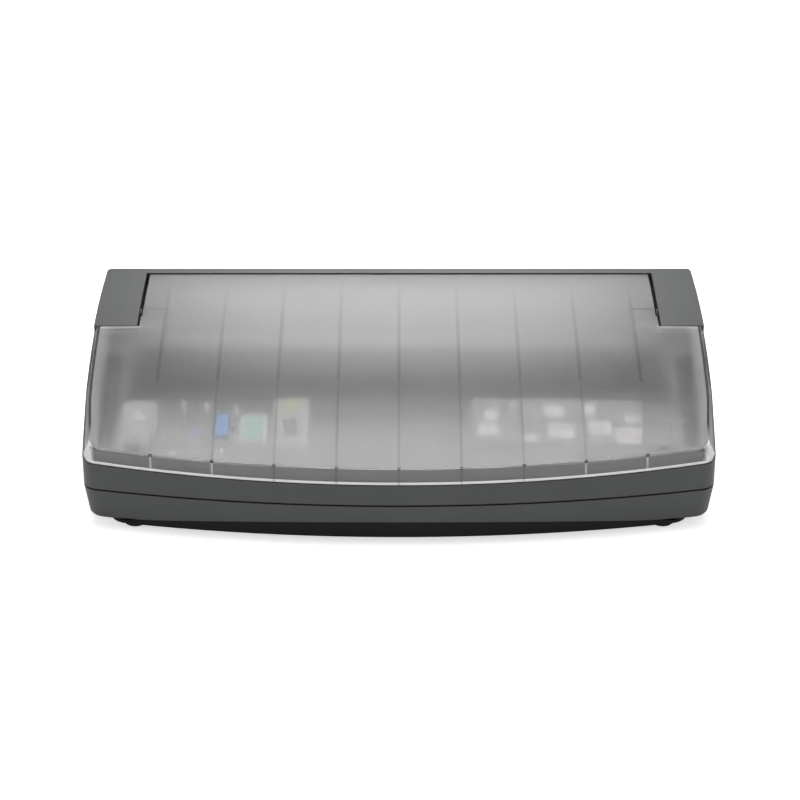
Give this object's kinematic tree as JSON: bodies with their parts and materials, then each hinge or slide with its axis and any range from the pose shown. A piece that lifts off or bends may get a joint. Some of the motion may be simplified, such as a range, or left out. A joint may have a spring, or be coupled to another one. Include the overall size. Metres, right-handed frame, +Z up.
{
  "type": "thermal binding machine",
  "caption": "Desktop thermal binder: grey case with a bowed front, heated slot in a sloping deck, and a frosted ribbed cover hinged between two shoulders.",
  "frame": {"origin": "under the middle of the machine, on the surface that it stands on", "axes": "+Z up, the bowed front faces -Y, +X to the right seen from the front"},
  "size_m": [0.44, 0.232, 0.108],
  "materials": {
    "grey_shell": "fine grain, satin",
    "black_shell": "fine grain, satin",
    "frosted_plastic": "frosted, see-through",
    "deck_grey": "fine grain, matt",
    "black_liner": "matt",
    "rubber": "matt",
    "plate_label": "printed film, bare",
    "aluminium": "drawn",
    "mica": "pressed sheet",
    "mineral_wool": "felted",
    "sheet_steel": "zinc plated",
    "steel": "zinc plated",
    "brass": "nickelled",
    "blue_key": "satin",
    "green_key": "satin",
    "lamp_lens": "clear tinted",
    "label_light": "printed film",
    "board_green": "solder mask",
    "component_black": "moulded",
    "component_blue": "moulded",
    "lead_black": "PVC",
    "lead_white": "silicone"
  },
  "bodies": {
    "chassis": {"board_screws": "steel", "bottom_pan": "black_shell", "capacitors": "component_black", "column_screws": "steel", "control_board": "board_green", "control_chip": "component_black", "control_label": "label_light", "cover_bumpers": "rubber", "deck": "deck_grey", "feet": "rubber", "guide_label": "label_light", "heat_sink": "aluminium", "heater_element": "mica", "heater_leads": "lead_white", "heater_relay": "component_black", "heater_tray": "sheet_steel", "heating_plate": "aluminium", "hinge_bushes": "black_liner", "inlet_contacts": "brass", "inlet_socket": "black_liner", "insulation_pad": "mineral_wool", "lamp_lens": "lamp_lens", "lower_case": "grey_shell", "mains_leads": "lead_black", "notice_label": "label_light", "pan_screws": "steel", "panel_cable": "lead_black", "plate_sensor": "component_black", "power_board": "board_green", "rating_plate": "plate_label", "ready_led": "lamp_lens", "rear_trough": "deck_grey", "slot_liner": "black_liner", "start_key_bezel": "label_light", "switch_housing": "black_liner", "tact_switches": "component_black", "terminal_block": "component_blue", "thermal_fuse": "steel", "thermostat": "component_black", "top_case": "grey_shell", "transformer": "component_black"},
    "cover": {"cover": "frosted_plastic", "hinge_pins": "steel"},
    "mode_key": {"mode_key": "blue_key"},
    "start_key": {"start_key": "green_key"},
    "rocker": {"switch_rocker": "black_liner"}
  },
  "joints": [
    {"name": "cover_hinge", "type": "hinge", "parent": "chassis", "child": "cover", "pos_m": [0, 0.055, 0.0955], "axis": [-1, 0, 0], "range_deg": [0, 105]},
    {"name": "mode_key_press", "type": "slide", "parent": "chassis", "child": "mode_key", "axis": [0, 0.3381, -0.9411], "range_m": [0, 0.001], "stiffness_N_per_m": 300, "springref_m": -0.0015},
    {"name": "start_key_press", "type": "slide", "parent": "chassis", "child": "start_key", "axis": [0, 0.3381, -0.9411], "range_m": [0, 0.001], "stiffness_N_per_m": 300, "springref_m": -0.0015},
    {"name": "mains_switch", "type": "hinge", "parent": "chassis", "child": "rocker", "pos_m": [0.106, 0.11, 0.042], "axis": [0, 0, -1], "range_deg": [0, 20]}
  ]
}
